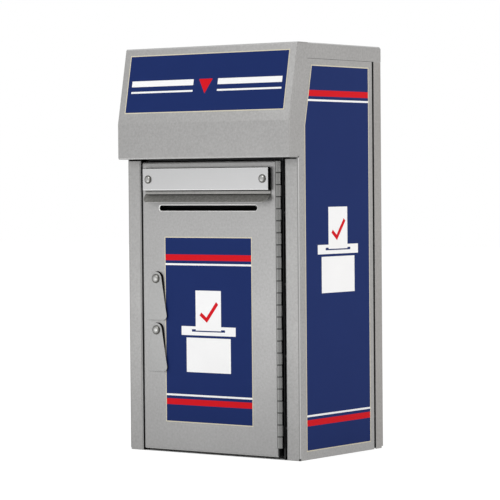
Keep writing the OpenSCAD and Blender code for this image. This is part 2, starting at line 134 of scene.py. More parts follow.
def shown_rays(finish):
    """Is 1 on the rays that reach the picture: straight, in metal's reflections or through glass."""
    straight, mirrored, through = (
        finish.add("LightPath", None, None, ray)
        for ray in ("Is Camera Ray", "Is Glossy Ray", "Is Transmission Ray")
    )
    return straight + mirrored + through


def pick(piece):
    """Leaves only this piece selected and active."""
    bpy.ops.object.select_all(action="DESELECT")
    piece.select_set(True)
    bpy.context.view_layer.objects.active = piece


def slab(name, low, high):
    """A block between two corners, from a cube set to its size and place."""
    low, high = Vector(low), Vector(high)
    bpy.ops.mesh.primitive_cube_add(size=1.0, location=(low + high) / 2)
    piece = bpy.context.active_object
    piece.name = name
    piece.data.name = name
    piece.scale = high - low
    pick(piece)
    bpy.ops.object.transform_apply(location=True, rotation=True, scale=True)
    return piece


table_half = 14.0
table_thickness = 0.02
table_drop = 0.0004
table_near = 0.15
table_far = 0.6
seen_white = 0.72
white_glow = 1.22
footprint_x = 0.2295
footprint_y = 0.1412
table_finish = Finish("white_table")
table_place = table_finish.add("TexCoord", None, None, "Object")
table_reach = table_finish.add("VectorMath", {"operation": "LENGTH"}, {0: table_place}, "Value")
far_out = table_finish.add("MapRange", {"interpolation_type": "SMOOTHSTEP"}, {
    "Value": table_reach, "From Min": table_near, "From Max": table_far, "To Min": 0.0, "To Max": 1.0,
})
table_x, table_y = (table_finish.add("SeparateXYZ", None, {0: table_place}, axis) for axis in "XY")
beyond_x = (table_x * table_x).above(footprint_x ** 2)
beyond_y = (table_y * table_y).above(footprint_y ** 2)
under_box = (1.0 - beyond_x) * (1.0 - beyond_y)
# Painted shade and painted light: the table's colour darkens close to the box, and farther out it glows
# faintly.
shade_painted_top = table_finish.add("BsdfDiffuse", None, {
    "Color": table_finish.tint(far_out, (0.60, 0.59, 0.575, 1.0), (0.95, 0.935, 0.92, 1.0)),
})
painted_glow = table_finish.add("Emission", None, {
    "Color": table_finish.tint(far_out, (0.0, 0.0, 0.0, 1.0), (1.0, 0.99, 0.98, 1.0)),
    "Strength": 0.1,
})
lit_top = table_finish.add("AddShader", None, {0: shade_painted_top, 1: painted_glow})
seen_top = table_finish.add("BsdfDiffuse", None, {"Color": (0.9, 0.9, 0.9, 1.0)})
white_top = table_finish.add("Emission", None, {"Color": (1.0, 1.0, 1.0, 1.0), "Strength": white_glow})
seen_mix = table_finish.add("MixShader", None, {
    0: seen_white - under_box * seen_white, 1: seen_top, 2: white_top,
})
bpy.ops.object.select_all(action="DESELECT")
table_top = slab(
    "table_top", (-table_half, -table_half, -table_thickness), (table_half, table_half, -table_drop)
)
table_mix = table_finish.add("MixShader", None, {0: shown_rays(table_finish), 1: lit_top, 2: seen_mix})
table_top.data.materials.append(table_finish.show(table_mix))

room = Finish("white_room", bpy.data.worlds)
room_light = room.add("Background", None, {"Color": (0.98, 0.99, 1.0, 1.0), "Strength": 0.66})
room_white = room.add("Background", None, {"Color": (1.0, 1.0, 1.0, 1.0), "Strength": 1.0})
bpy.context.scene.world = room.show(
    room.add("MixShader", None, {0: shown_rays(room), 1: room_light, 2: room_white}), "OutputWorld"
)


def soft_lamp(name, place, aim, width, height, power, colour=(1.0, 1.0, 1.0)):
    """A large soft lamp at a place, turned towards what it lights."""
    data = bpy.data.lights.new(name, "AREA")
    data.color = colour
    data.shape = "RECTANGLE"
    data.size = width
    data.size_y = height
    data.energy = power
    lamp = bpy.data.objects.new(name, data)
    bpy.context.scene.collection.objects.link(lamp)
    lamp.location = place
    lamp.rotation_euler = (Vector(aim) - Vector(place)).to_track_quat("-Z", "Y").to_euler()


box_middle = (0.0, 0.0, 0.45)
soft_lamp("front_lamp", (-0.72, -1.40, 0.16), (0.08, -0.14, 0.28), 0.7, 0.35, 2.4)
soft_lamp("side_lamp", (2.6, 3.2, 0.45), box_middle, 2.4, 2.0, 7.6, (1.0, 0.94, 0.89))
soft_lamp("high_front_lamp", (-0.8, -3.6, 2.5), box_middle, 1.2, 1.2, 36.0)
soft_lamp("high_side_lamp", (3.6, 0.2, 1.6), box_middle, 1.2, 1.2, 29.0, (1.0, 0.985, 0.97))


# Cabinet panels. The sides, the back, the roof with its hood and the floor are stainless sheet 2 mm
# thick, blasted to an even matt grey and folded on a brake, then welded from the inside.
steel_grey = (0.340, 0.337, 0.333, 1.0)
steel_shade = (0.280, 0.277, 0.273, 1.0)
highlight_grey = (0.53, 0.53, 0.525, 1.0)
bend_shade = (0.21, 0.21, 0.206, 1.0)
painted_shade_black = (0.02, 0.02, 0.02, 1.0)
touching = 0.00001
cut_edge = 0.0004
hood_edge = 0.0009
foot_shade_top = 0.33
foot_shade_depth = 0.21
fold_start = 0.045
fold_crown = 0.09
edge_crown = 0.07
fold_depth = 0.0042
inside_back = 0.1
frame_gap = 0.001
hood_gap = 0.006
hood_return = 0.028
hood_hem = 0.003


def blasted_steel(name, light, shade, roughness, grain=1.0, edge_shade=0.0, bends="folded"):
    """Matt stainless: slow clouds in its grey and fine mottling, painted shade towards the bottom of
    faces that look front or back, painted highlights on bends and edges, and painted shade on cut
    edges when asked. The bends are folded, with a painted shade on their front half, tumbled all round,
    or left alone."""
    finish = Finish(name)
    place = finish.add("TexCoord", None, None, "Object")
    clouds = finish.add("TexNoise", None, {"Vector": place, "Scale": 9.0, "Detail": 3.0, "Roughness": 0.55})
    mottle = finish.add("TexNoise", None, {"Vector": place, "Scale": 190.0, "Detail": 3.0, "Roughness": 0.65})
    bite = finish.add("TexNoise", None, {"Vector": place, "Scale": 1500.0, "Detail": 2.0})
    tone = clouds * 0.5 + mottle * 2.2 - 0.85
    grey = finish.tint(tone, light, shade)
    height = finish.add("SeparateXYZ", None, {0: place}, "Z")
    # Painted shade: faces that look front or back grow darker towards the bottom.
    foot_shade = finish.add("MapRange", None, {
        "Value": height, "From Min": 0.0, "From Max": foot_shade_top, "To Min": foot_shade_depth, "To Max": 0.0,
    })
    facing = finish.add("TexCoord", None, None, "Normal")
    x, y, z = (finish.add("SeparateXYZ", None, {0: facing}, axis) for axis in "XYZ")
    turn = x * x * y * y + y * y * z * z + z * z * x * x
    grey = finish.tint(foot_shade * y * y, grey, painted_shade_black)
    # Painted highlight: the crown of each bend or broken edge turns pale and less metallic; with folded
    # bends, painted shade darkens their front half.
    front_half = (y * y).above(0.55) * (x * x).above(0.04)
    painted_glint = turn.above(edge_crown)
    if bends == "folded":
        grey = finish.tint(turn.above(fold_start) * front_half * 0.55, grey, bend_shade)
        painted_glint = turn.above(fold_crown) * (1.0 - front_half)
    painted_glint = painted_glint * (0.7 if bends else 0.0)
    grey = finish.tint(painted_glint, grey, highlight_grey)
    # Painted shade: the faces round a cut edge turn near black, by the given share.
    if edge_shade:
        rim = 1.0 - (y * y).above(0.4)
        grey = finish.tint(rim * edge_shade, grey, (0.03, 0.03, 0.032, 1.0))
    dull = roughness - 0.06 + mottle * 0.09 + clouds * 0.05
    bump = finish.add(
        "Bump", None, {"Strength": 0.16 * grain, "Distance": 0.00012, "Height": bite * 0.7 + mottle * 0.5}
    )
    shader = finish.add("BsdfPrincipled", None, {
        "Base Color": grey, "Metallic": 1.0 - painted_glint * 0.6, "Roughness": dull, "Normal": bump,
    })
    return finish.show(shader)


def dress(piece, body, slot, material, *nodes):
    """Gives a piece its finish and the body it moves with, and hides the solids it stands for."""
    piece.data.materials.clear()
    piece.data.materials.append(material)
    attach(piece, body)
    if nodes:
        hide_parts(*nodes)
    return piece


def painted(piece, material, test):
    """Gives the faces that pass the test another finish."""
    piece.data.materials.append(material)
    for face in piece.data.polygons:
        if test(face.center, face.normal):
            face.material_index = len(piece.data.materials) - 1


def broken_edges(piece, width, segments=2, limit=32.0):
    """Takes the sharpness off every edge and smooths the rest."""
    pick(piece)
    bevel = piece.modifiers.new("broken_edges", "BEVEL")
    bevel.width = width
    bevel.segments = segments
    bevel.limit_method = "ANGLE"
    bevel.angle_limit = math.radians(limit)
    bevel.use_clamp_overlap = True
    bpy.ops.object.modifier_apply(modifier=bevel.name)
    bpy.ops.object.shade_smooth_by_angle(angle=math.radians(50.0))
    even = piece.modifiers.new("even_flats", "WEIGHTED_NORMAL")
    even.keep_sharp = True
    bpy.ops.object.modifier_apply(modifier=even.name)
    return piece


def joined(name, *parts):
    """Joins parts into one piece."""
    bpy.ops.object.select_all(action="DESELECT")
    for part in parts:
        part.select_set(True)
    bpy.context.view_layer.objects.active = parts[0]
    bpy.ops.object.join()
    parts[0].name = name
    parts[0].data.name = name
    return parts[0]


def finished_panel(node, name, width, segments=2):
    """A panel with the outline and folds of its solid, its flats made whole and its edges broken."""
    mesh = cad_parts[node].data.copy()
    piece = bpy.data.objects.new(name, mesh)
    bpy.context.scene.collection.objects.link(piece)
    pick(piece)
    if mesh.has_custom_normals:
        bpy.ops.mesh.customdata_custom_splitnormals_clear()
    bpy.ops.object.mode_set(mode="EDIT")
    bpy.ops.mesh.select_all(action="SELECT")
    bpy.ops.mesh.remove_doubles(threshold=touching)
    bpy.ops.mesh.dissolve_limited(angle_limit=math.radians(0.6))
    bpy.ops.object.mode_set(mode="OBJECT")
    return broken_edges(piece, width, segments)


panel_steel = blasted_steel("blasted_panel_steel", steel_grey, steel_shade, 0.47)
# Painted shade: a near-black steel for faces that sit in shade, such as insides, backs and gaps.
shade_steel = blasted_steel("painted_shade_steel", (0.075, 0.075, 0.076, 1.0), (0.055, 0.055, 0.056, 1.0), 0.55,
                           bends="")
back_steel = blasted_steel("blasted_back_steel", (0.324, 0.315, 0.306, 1.0), (0.268, 0.260, 0.251, 1.0), 0.47)
# The hinge angle takes the painted shade steel all over.
for node, name, steel in (
    ("back_panel", "back_pan", back_steel), ("floor_panel", "floor_pan", panel_steel),
    ("hinge_jamb", "hinge_angle", shade_steel),
):
    panel = dress(finished_panel(node, name, cut_edge), "cabinet", "stainless_sheet", steel, node)
    if node == "floor_panel":
        # Painted shade on the floor pan's front faces, under the door.
        painted(panel, shade_steel, lambda centre, normal: normal.y < -0.5)
front_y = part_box("door_panel")[0].y - frame_gap
for node, name in (("left_side_panel", "left_side"), ("right_side_panel", "right_side")):
    side = dress(finished_panel(node, name, cut_edge), "cabinet", "stainless_sheet", panel_steel, node)
    side_x = max(abs(corner.x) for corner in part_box(node))
    # Painted shade on the inside faces of each side panel, from behind its front fold back.
    painted(side, shade_steel, lambda centre, normal: abs(centre.x) < side_x - fold_depth
            and front_y + fold_depth < centre.y < inside_back)
hood = dress(finished_panel("roof_hood", "hood_and_roof", hood_edge, 3), "cabinet", "stainless_sheet",
             panel_steel, "roof_hood")
hood_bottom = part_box("door_panel")[1].z + hood_gap
# Painted shade on the hood's underside above the door.
painted(hood, shade_steel, lambda centre, normal: centre.z < hood_bottom + hood_hem
        and centre.y > front_y - hood_return)

weld_half = 0.0016
weld_y = -0.106
weld_sink = 0.00002
weld_root = 0.0015
weld_foot = 0.0006
weld_head = 0.003
weld_edge = 0.0003
seam_root = 0.00142
seam_front = 0.0294
seam_back = 0.0043
seam_drop = 0.0003
seam_rise = 0.0008
seam_edge = 0.0002


def ground_weld(edge_x, inward, root, front, back, low, high, ease):
    """A filled seam ground down to just under the skin of the panel's edge."""
    skin_x, root_x = edge_x + inward * weld_sink, edge_x + inward * root
    return broken_edges(
        slab("weld", (min(skin_x, root_x), front, low), (max(skin_x, root_x), back, high)), ease
    )


roof_low, roof_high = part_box("roof_hood")
roof_seam_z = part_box("back_panel")[1].z
welds = []
for edge_x, inward in ((roof_high.x, -1), (roof_low.x, 1)):
    welds.append(ground_weld(
        edge_x, inward, weld_root, weld_y - weld_half, weld_y + weld_half,
        roof_seam_z + weld_foot, roof_high.z - weld_head, weld_edge,
    ))
for edge_x, inward in ((roof_low.x, 1), (roof_high.x, -1)):
    welds.append(ground_weld(
        edge_x, inward, seam_root, roof_high.y - seam_front, roof_high.y - seam_back,
        roof_seam_z - seam_drop, roof_seam_z + seam_rise, seam_edge,
    ))
dress(joined("ground_welds", *welds), "cabinet", "stainless_sheet", panel_steel)


# Door. A pan of the same sheet with its four edges folded back and welded at the corners, pierced
# for the ballot slot, whose rim is rolled in, and for the two locks and the pivots of their covers.
sheet_thickness = 0.002
door_fold = 0.004
slot_height = 0.011
slot_length = 0.265
slot_rim = 0.0018
slot_rise = 0.008
slot_end_flat = 0.00005
rim_edge = 0.0005
cut_ahead = 0.005
cut_behind = 0.006
lock_rim_lap = 0.0036
pivot_head_lap = 0.0116


def chosen(piece, kind, test):
    """In edit mode, selects the faces or edges whose places pass the test."""
    bpy.ops.object.mode_set(mode="EDIT")
    bpy.ops.mesh.select_mode(type=kind)
    bpy.ops.mesh.select_all(action="DESELECT")
    bpy.ops.object.mode_set(mode="OBJECT")
    points = piece.data.vertices
    if kind == "FACE":
        for face in piece.data.polygons:
            face.select = test(face)
    else:
        for edge in piece.data.edges:
            edge.select = test(points[edge.vertices[0]].co, points[edge.vertices[1]].co)
    bpy.ops.object.mode_set(mode="EDIT")


def walled(piece, thickness):
    """Gives a skin its wall, behind it."""
    bpy.ops.object.mode_set(mode="OBJECT")
    pick(piece)
    wall = piece.modifiers.new("wall", "SOLIDIFY")
    wall.thickness = thickness
    wall.offset = -1.0
    wall.use_even_offset = True
    bpy.ops.object.modifier_apply(modifier=wall.name)


def cut_out(piece, cutter):
    """Cuts one piece out of another and throws the cutter away."""
    pick(piece)
    cut = piece.modifiers.new("cut", "BOOLEAN")
    cut.operation = "DIFFERENCE"
    cut.solver = "EXACT"
    cut.object = cutter
    bpy.ops.object.modifier_apply(modifier=cut.name)
    bpy.data.objects.remove(cutter)


def round_rod(name, x, z, y0, y1, diameter, sides=48):
    """A round bar or cutter that lies along Y."""
    bpy.ops.mesh.primitive_cylinder_add(
        vertices=sides, radius=diameter / 2, depth=y1 - y0,
        location=(x, (y0 + y1) / 2, z), rotation=(math.pi / 2, 0.0, 0.0),
    )
    piece = bpy.context.active_object
    piece.name = name
    piece.data.name = name
    pick(piece)
    bpy.ops.object.transform_apply(location=True, rotation=True, scale=True)
    return piece


door_low, door_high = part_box("door_panel")
chute_low, chute_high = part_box("slot_chute")
slot_middle_x = (chute_low.x + chute_high.x) / 2
slot_middle_z = chute_high.z + slot_rise + slot_height / 2
door_face = door_low.y
door = slab("door_pan", door_low, door_high)
chosen(door, "EDGE", lambda a, b: min(a.y, b.y) < door_face + 0.001)
bpy.ops.mesh.bevel(offset=door_fold, segments=6, affect="EDGES")
chosen(door, "FACE", lambda face: face.normal.y > 0.9)
bpy.ops.mesh.delete(type="FACE")
walled(door, sheet_thickness)

slot_cutter = slab(
    "slot_cutter",
    (slot_middle_x - slot_length / 2, door_face - cut_ahead, slot_middle_z - slot_height / 2),
    (slot_middle_x + slot_length / 2, door_face + cut_behind, slot_middle_z + slot_height / 2),
)
chosen(slot_cutter, "EDGE", lambda a, b: abs(a.y - b.y) > cut_ahead)
bpy.ops.mesh.bevel(offset=slot_height / 2 - slot_end_flat, segments=10, affect="EDGES")
bpy.ops.object.mode_set(mode="OBJECT")
cut_out(door, slot_cutter)


def at_slot(point, margin):
    """Says whether a point lies within the slot's outline, made larger by the margin."""
    return (abs(point.x - slot_middle_x) < slot_length / 2 + margin
            and abs(point.z - slot_middle_z) < slot_height / 2 + margin)


chosen(door, "EDGE", lambda a, b: max(a.y, b.y) < door_face + touching
       and at_slot(a, 0.001) and at_slot(b, 0.001))
bpy.ops.mesh.bevel(offset=slot_rim, segments=4, affect="EDGES")
bpy.ops.object.mode_set(mode="OBJECT")
for node, lap in (
    ("upper_lock_body", lock_rim_lap), ("lower_lock_body", lock_rim_lap),
    ("upper_cover_pivot", pivot_head_lap), ("lower_cover_pivot", pivot_head_lap),
):
    low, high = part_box(node)
    cut_out(door, round_rod("hole_cutter", (low.x + high.x) / 2, (low.z + high.z) / 2,
                            door_face - cut_ahead, door_face + cut_behind, high.x - low.x - lap))
door_steel = blasted_steel("blasted_door_steel", (0.332, 0.330, 0.328, 1.0), (0.282, 0.280, 0.277, 1.0), 0.46)
broken_edges(door, rim_edge, 3)
dress(door, "door", "stainless_sheet", door_steel, "door_panel")
# Painted shade on the door's right fold, in the gap by the hinge.
painted(door, shade_steel, lambda centre, normal: normal.x > 0.6 and centre.x > door_high.x - door_fold)
# Painted highlight: the slot's rounded rim takes a pale steel.
slot_highlight_steel = blasted_steel("painted_highlight_rim_steel", (0.76, 0.76, 0.75, 1.0), (0.68, 0.68, 0.672, 1.0), 0.45,
                          bends="")
painted(door, slot_highlight_steel, lambda centre, normal: at_slot(centre, slot_rim)
        and centre.y < door_face + slot_rim and -0.995 < normal.y < -0.1)

# The chute and its top take the painted shade steel, so the slot reads dark.
for node, name in (
    ("door_stiffener", "stiffening_channel"), ("slot_baffle", "chute_top"), ("slot_chute", "chute_slide"),
):
    dress(finished_panel(node, name, cut_edge), "door", "stainless_sheet",
          panel_steel if node == "door_stiffener" else shade_steel, node)


# Seals. Closed-cell rubber strips are stuck to the two stops that the door shuts against, and a
# rubber cord is pressed into the groove at each side, in front of the back pan.
rubber_edge = 0.0005
rubber_finish = Finish("foam_rubber")
rubber_place = rubber_finish.add("TexCoord", None, None, "Object")
rubber_cells = rubber_finish.add("TexVoronoi", None, {"Vector": rubber_place, "Scale": 1400.0})
rubber_bump = rubber_finish.add("Bump", None, {"Strength": 0.3, "Distance": 0.0002, "Height": rubber_cells})
rubber = rubber_finish.show(rubber_finish.add("BsdfPrincipled", None, {
    "Base Color": (0.008, 0.008, 0.0085, 1.0), "Roughness": 0.85, "Specular IOR Level": 0.08,
    "Normal": rubber_bump,
}))
for node, name in (("door_seal", "seal_strips"), ("groove_seals", "groove_cords")):
    dress(finished_panel(node, name, rubber_edge, 3), "cabinet", "seal_rubber", rubber, node)


# Continuous hinge. Two leaves of heavy stainless strip whose knuckles take turns round one pin, all
# the way down the door's right edge; the knuckles' ends are eased and the pin is staked.
knuckle_count = 24
knuckle_gap = 0.0005
knuckle_ease = 0.0007
tongue_play = 0.0004
tongue_lap = 0.002
leaf_thickness = 0.003
leaf_start = 0.0005
leaf_foot = 0.0002
leaf_play = 0.0004
tongue_edge = 0.0004
leaf_edge = 0.0005
pin_edge = 0.0006
joint_shade_width = 0.0011
gap_shade_start = -0.1452
gap_shade_rate = 330.0
hinge_grey = (0.235, 0.235, 0.231, 1.0)

pin_low, pin_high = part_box("hinge_pin")
pin_middle = (pin_low + pin_high) / 2
hinge_low, hinge_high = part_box("frame_hinge_leaf")
hinge_pitch = (hinge_high.z - hinge_low.z) / knuckle_count
hinge_finish = Finish("shaded_hinge_steel")
hinge_place = hinge_finish.add("TexCoord", None, None, "Object")
hinge_y, hinge_z = (hinge_finish.add("SeparateXYZ", None, {0: hinge_place}, axis) for axis in "YZ")
hinge_turns = hinge_finish.add(
    "Math", {"operation": "PINGPONG"}, {0: hinge_z - hinge_low.z, 1: hinge_pitch / 2}
)
# Painted shade in a narrow band at each joint between knuckles.
joint_shade_mask = 1.0 - hinge_turns.above(joint_shade_width)
# Painted shade: deeper into the gap behind the barrel, the hinge fades to near black.
gap_shade_ramp = (hinge_y - gap_shade_start) * gap_shade_rate
gap_shade_mask = hinge_finish.add("Clamp", None, {"Value": gap_shade_ramp, "Min": 0.0, "Max": 1.0})
hinge_mottle = hinge_finish.add("TexNoise", None, {"Vector": hinge_place, "Scale": 420.0, "Detail": 2.0})
hinge_clean = hinge_finish.tint(hinge_mottle, hinge_grey, (0.16, 0.16, 0.155, 1.0))
hinge_facing = hinge_finish.add("TexCoord", None, None, "Normal")
hinge_turn = hinge_finish.add("SeparateXYZ", None, {0: hinge_facing}, "X")
# Painted highlight on the side of each knuckle that looks right.
hinge_glint = hinge_finish.tint(hinge_turn.above(0.93) * 0.8, hinge_clean, highlight_grey)
# Painted shade on the side of each knuckle that looks left, by the door's edge.
hinge_left_shade = 1.0 - hinge_turn.above(-0.35)
hinge_shady = hinge_finish.tint(hinge_left_shade * 0.6, hinge_glint, (0.12, 0.12, 0.12, 1.0))
hinge_joint_shaded = hinge_finish.tint(joint_shade_mask * 0.9, hinge_shady, painted_shade_black)
hinge_bump = hinge_finish.add("Bump", None, {"Strength": 0.1, "Distance": 0.0001, "Height": hinge_mottle})
hinge_steel = hinge_finish.show(hinge_finish.add("BsdfPrincipled", None, {
    "Base Color": hinge_finish.tint(gap_shade_mask, hinge_joint_shaded, (0.006, 0.006, 0.006, 1.0)),
    "Metallic": 1.0, "Roughness": 0.34 + hinge_mottle * 0.1, "Normal": hinge_bump,
}))
for node, name, body, first in (
    ("frame_hinge_leaf", "frame_leaf", "cabinet", 1), ("door_hinge_leaf", "door_leaf", "door", 0),
):
    leaf_low, leaf_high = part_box(node)
    knuckle_radius = pin_middle.y - leaf_low.y
    barrel_back = leaf_low.y + 2 * knuckle_radius
    inner_x = leaf_high.x - leaf_thickness if body == "cabinet" else leaf_low.x
    outer_x = inner_x + leaf_thickness
    knuckle_low = leaf_low.z + first * hinge_pitch + knuckle_gap / 2
    bpy.ops.mesh.primitive_cylinder_add(
        vertices=40, radius=knuckle_radius, depth=hinge_pitch - knuckle_gap,
        location=(pin_middle.x, pin_middle.y, knuckle_low + (hinge_pitch - knuckle_gap) / 2),
    )
    knuckle = bpy.context.active_object
    pick(knuckle)
    bpy.ops.object.transform_apply(location=True, rotation=True, scale=True)
    broken_edges(knuckle, knuckle_ease, 3, 60.0)
    tongue = broken_edges(
        slab("tongue", (inner_x, pin_middle.y, knuckle_low + tongue_play),
             (outer_x, barrel_back + tongue_lap, knuckle_low + hinge_pitch - knuckle_gap - tongue_play)),
        tongue_edge,
    )
    row = joined("knuckles", knuckle, tongue)
    pick(row)
    repeat = row.modifiers.new("row", "ARRAY")
    repeat.count = knuckle_count // 2
    repeat.use_relative_offset = False
    repeat.use_constant_offset = True
    repeat.constant_offset_displace = (0.0, 0.0, 2 * hinge_pitch)
    bpy.ops.object.modifier_apply(modifier=repeat.name)
    leaf = broken_edges(
        slab("leaf", (inner_x, barrel_back + leaf_start, leaf_low.z + leaf_foot),
             (outer_x, leaf_high.y, leaf_low.z + knuckle_count * hinge_pitch - leaf_play)),
        leaf_edge,
    )
    dress(joined(name, row, leaf), body, "stainless_sheet", hinge_steel, node)

pin = finished_panel("hinge_pin", "pin", pin_edge, 3)
dress(pin, "cabinet", "bright_fasteners", hinge_steel, "hinge_pin")


# Fasteners. Plain stainless machine screws and nuts hold the hinge leaves, and nuts on washers
# hold the bar inside the door.
screw_edge = 0.0003
crown_start = 0.62
crown_rate = 2.9
fastener_finish = Finish("bright_screws")
screw_place = fastener_finish.add("TexCoord", None, None, "Object")
screw_marks = fastener_finish.add("TexNoise", None, {"Vector": screw_place, "Scale": 900.0, "Detail": 2.0})
screw_bump = fastener_finish.add("Bump", None, {"Strength": 0.12, "Distance": 0.0001, "Height": screw_marks})
screw_facing = fastener_finish.add("TexCoord", None, None, "Normal")
screw_front = fastener_finish.add("SeparateXYZ", None, {0: screw_facing}, "Y")
screw_front = screw_front * screw_front
# Painted shade: only faces that look straight out keep the grey; the rest turn dark, ringing each head.
screw_unshaded_crown = fastener_finish.add("Clamp", None, {
    "Value": (screw_front * screw_front - crown_start) * crown_rate, "Min": 0.0, "Max": 1.0,
})
screw_grey = fastener_finish.tint(screw_marks, (0.38, 0.38, 0.373, 1.0), (0.285, 0.285, 0.278, 1.0))
bright_screws = fastener_finish.show(fastener_finish.add("BsdfPrincipled", None, {
    "Base Color": fastener_finish.tint(screw_unshaded_crown, (0.10, 0.098, 0.09, 1.0), screw_grey),
    "Metallic": 1.0, "Roughness": 0.24 + screw_marks * 0.12, "Normal": screw_bump,
}))
for node, name, body in (
    ("frame_hinge_screws", "frame_leaf_screws", "cabinet"), ("door_hinge_screws", "door_leaf_screws", "door"),
    ("bar_spacers", "bar_sleeves", "door"), ("bar_nuts", "bar_bolt_nuts", "door"),
):
    dress(finished_panel(node, name, screw_edge), body, "bright_fasteners", bright_screws, node)


# Drip hood and bar. The hood's web lies on the door and its flap sweeps out over the slot with
# rounded ends; a bright channel is bolted over the web through spacers.
flap_round = 0.017
flap_tip = 0.0001
drip_fall = 0.0165
drip_fold_share = 0.696
drip_bend = 0.002
bar_bend = 0.0034
fold_shade_half = 0.0009
lip_highlight_width = 0.0011
bar_shadow = 0.0011


def fold_at(strip, corner):
    """In edit mode, selects the edges of a strip that run through a corner."""
    chosen(strip, "EDGE", lambda a, b: all(
        abs(point.y - corner[0]) < touching and abs(point.z - corner[1]) < touching for point in (a, b)))


def folded_strip(name, corners, x0, x1, radius, outward):
    """Strip of sheet bent through the corners of its outer side, in Y and Z, from x0 to x1."""
    bpy.ops.mesh.primitive_plane_add(size=1.0)
    strip = bpy.context.active_object
    strip.name = name
    strip.data.name = name
    for point, (x, (y, z)) in zip(strip.data.vertices, (
        (x0, corners[0]), (x1, corners[0]), (x0, corners[1]), (x1, corners[1])
    )):
        point.co = (x, y, z)
    for last, corner in zip(corners[1:], corners[2:]):
        fold_at(strip, last)
        bpy.ops.mesh.extrude_region_move(
            TRANSFORM_OT_translate={"value": (0.0, corner[0] - last[0], corner[1] - last[1])})
    for before, fold, after in zip(corners, corners[1:], corners[2:]):
        turn = (Vector(fold) - Vector(before)).angle(Vector(after) - Vector(fold))
        fold_at(strip, fold)
        bpy.ops.mesh.bevel(offset=radius * math.tan(turn / 2), segments=6, affect="EDGES")
    bpy.ops.object.mode_set(mode="OBJECT")
    if strip.data.polygons[0].normal.dot(Vector(outward)) < 0:
        chosen(strip, "FACE", lambda face: True)
        bpy.ops.mesh.flip_normals()
        bpy.ops.object.mode_set(mode="OBJECT")
    return strip


hood_low, hood_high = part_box("drip_hood")
drip_fold_z = hood_low.z + drip_fall + drip_fold_share * sheet_thickness
drip = folded_strip(
    "drip_flap",
    [(door_face - sheet_thickness, hood_high.z), (door_face - sheet_thickness, drip_fold_z),
     (hood_low.y, drip_fold_z - drip_fall)],
    hood_low.x, hood_high.x, drip_bend, (0.0, -1.0, 0.0),
)
chosen(drip, "EDGE", lambda a, b: False)
bpy.ops.mesh.select_mode(type="VERT")
bpy.ops.object.mode_set(mode="OBJECT")
for point in drip.data.vertices:
    point.select = point.co.y < hood_low.y + flap_tip
bpy.ops.object.mode_set(mode="EDIT")
bpy.ops.mesh.bevel(offset=flap_round, segments=10, affect="VERTICES")
walled(drip, sheet_thickness)
broken_edges(drip, cut_edge)
bar_low, bar_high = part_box("slot_bar")
drip_finish = Finish("shaded_drip_steel")
drip_place = drip_finish.add("TexCoord", None, None, "Object")
drip_z = drip_finish.add("SeparateXYZ", None, {0: drip_place}, "Z")
drip_mottle = drip_finish.add("TexNoise", None, {"Vector": drip_place, "Scale": 210.0, "Detail": 3.0,
                                                 "Roughness": 0.65})
drip_spots = drip_mottle * 2.4 - 0.7
# Painted shade: the web is darker than the door's steel and the flap darker still, as both lie in shade under
# the bar.
drip_flap = drip_finish.tint(drip_spots, (0.30, 0.297, 0.281, 1.0), (0.176, 0.174, 0.162, 1.0))
drip_web = drip_finish.tint(drip_spots, (0.30, 0.297, 0.288, 1.0), (0.235, 0.232, 0.223, 1.0))
drip_grey = drip_finish.tint(drip_z.above(drip_fold_z + fold_shade_half), drip_flap, drip_web)
# Painted shade along the fold between web and flap.
fold_shade_mask = drip_z.above(drip_fold_z - fold_shade_half) * (1.0 - drip_z.above(drip_fold_z + fold_shade_half))
drip_grey = drip_finish.tint(fold_shade_mask * 0.9, drip_grey, painted_shade_black)
# Painted highlight along the flap's lip.
drip_grey = drip_finish.tint(1.0 - drip_z.above(hood_low.z + lip_highlight_width), drip_grey, highlight_grey)
drip_grey = drip_finish.tint(drip_z.above(bar_low.z - bar_shadow), drip_grey, (0.012, 0.012, 0.012, 1.0))
drip_bump = drip_finish.add("Bump", None, {"Strength": 0.2, "Distance": 0.00012, "Height": drip_mottle})
drip_steel = drip_finish.show(drip_finish.add("BsdfPrincipled", None, {
    "Base Color": drip_grey, "Metallic": 1.0, "Roughness": 0.44 + drip_mottle * 0.12, "Normal": drip_bump,
}))
dress(drip, "door", "stainless_sheet", drip_steel, "drip_hood")

bar = folded_strip(
    "slot_channel",
    [(bar_high.y, bar_high.z), (bar_low.y, bar_high.z), (bar_low.y, bar_low.z), (bar_high.y, bar_low.z)],
    bar_low.x, bar_high.x, bar_bend, (0.0, 0.0, 1.0),
)
walled(bar, sheet_thickness)
broken_edges(bar, cut_edge)
bar_finish = Finish("satin_bar_steel")
bar_place = bar_finish.add("TexCoord", None, None, "Object")
bar_lines = bar_finish.add("Mapping", None, {"Vector": bar_place, "Scale": (6.0, 900.0, 900.0)})
bar_brush = bar_finish.add("TexNoise", None, {"Vector": bar_lines, "Scale": 1.0, "Detail": 4.0})
bar_cloud = bar_finish.add("TexNoise", None, {"Vector": bar_place, "Scale": 14.0, "Detail": 2.0})
bar_bump = bar_finish.add("Bump", None, {"Strength": 0.05, "Distance": 0.0001, "Height": bar_brush})
bar_facing = bar_finish.add("TexCoord", None, None, "Normal")
bar_y, bar_z = (bar_finish.add("SeparateXYZ", None, {0: bar_facing}, axis) for axis in "YZ")
